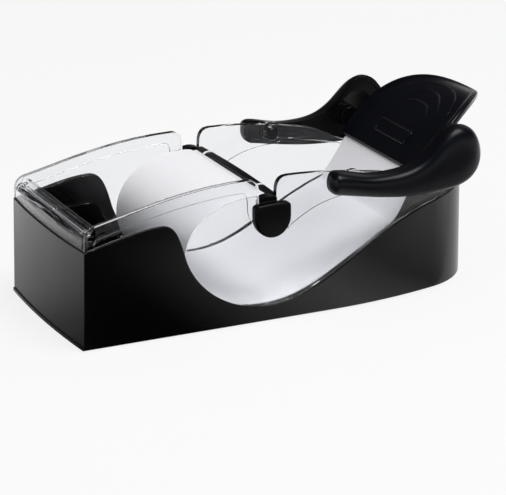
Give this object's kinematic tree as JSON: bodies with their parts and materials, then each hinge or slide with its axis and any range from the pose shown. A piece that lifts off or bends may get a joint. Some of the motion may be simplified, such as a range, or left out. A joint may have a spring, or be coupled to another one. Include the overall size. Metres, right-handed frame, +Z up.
{
  "type": "sushi roller",
  "caption": "Film-type sushi roller: open tub with a clear side frame, a drop-in bar holding a white film loop, and pivoted arms with a leaf-shaped grip that pulls the film tight.",
  "frame": {"origin": "middle of the footprint on the table, under the centre of the overall length and width", "axes": "+X along the tub from the square end with the tray towards the round end and the grip, +Y across the tub, +Z up"},
  "size_m": [0.2342, 0.116, 0.0911],
  "materials": {
    "tub_plastic": "satin moulded ABS",
    "foot_rubber": "matt rubber",
    "clear_plastic": "clear moulded plastic",
    "white_film": "flexible opaque film",
    "white_strip": "moulded strip",
    "bar_plastic": "moulded ABS",
    "soft_grip": "soft-touch satin",
    "arm_plastic": "moulded ABS",
    "pin_plastic": "moulded acetal"
  },
  "bodies": {
    "base": {"tub": "tub_plastic", "rubber_feet": "foot_rubber", "side_frame": "clear_plastic", "film_loop": "white_film", "film_slope": "white_film", "film_pull": "white_film"},
    "bar": {"film_bar": "bar_plastic", "bar_cap_near": "bar_plastic", "bar_cap_far": "bar_plastic", "film_hem": "white_strip"},
    "arms": {"arm_shell_near": "soft_grip", "arm_shell_far": "soft_grip", "arm_liner_near": "arm_plastic", "arm_liner_far": "arm_plastic", "pivot_pin_near": "pin_plastic", "pivot_pin_far": "pin_plastic"},
    "grip": {"grip_leaf": "soft_grip", "grip_clamp": "arm_plastic", "clamp_studs": "arm_plastic", "grip_pin_near": "pin_plastic", "grip_pin_far": "pin_plastic"}
  },
  "joints": [
    {"name": "bar_lift", "type": "slide", "parent": "base", "child": "bar", "axis": [0, 0, 1], "range_m": [0, 0.03], "deforming": ["film_loop"]},
    {"name": "arm_swing", "type": "hinge", "parent": "base", "child": "arms", "pos_m": [0.02475, 0, 0.0639], "axis": [0, 1, 0], "range_deg": [-110, 0], "deforming": ["film_pull"]},
    {"name": "grip_tilt", "type": "hinge", "parent": "arms", "child": "grip", "pos_m": [0.06825, 0, 0.0681], "axis": [0, 1, 0], "range_deg": [-30, 0], "deforming": ["film_pull"]}
  ]
}
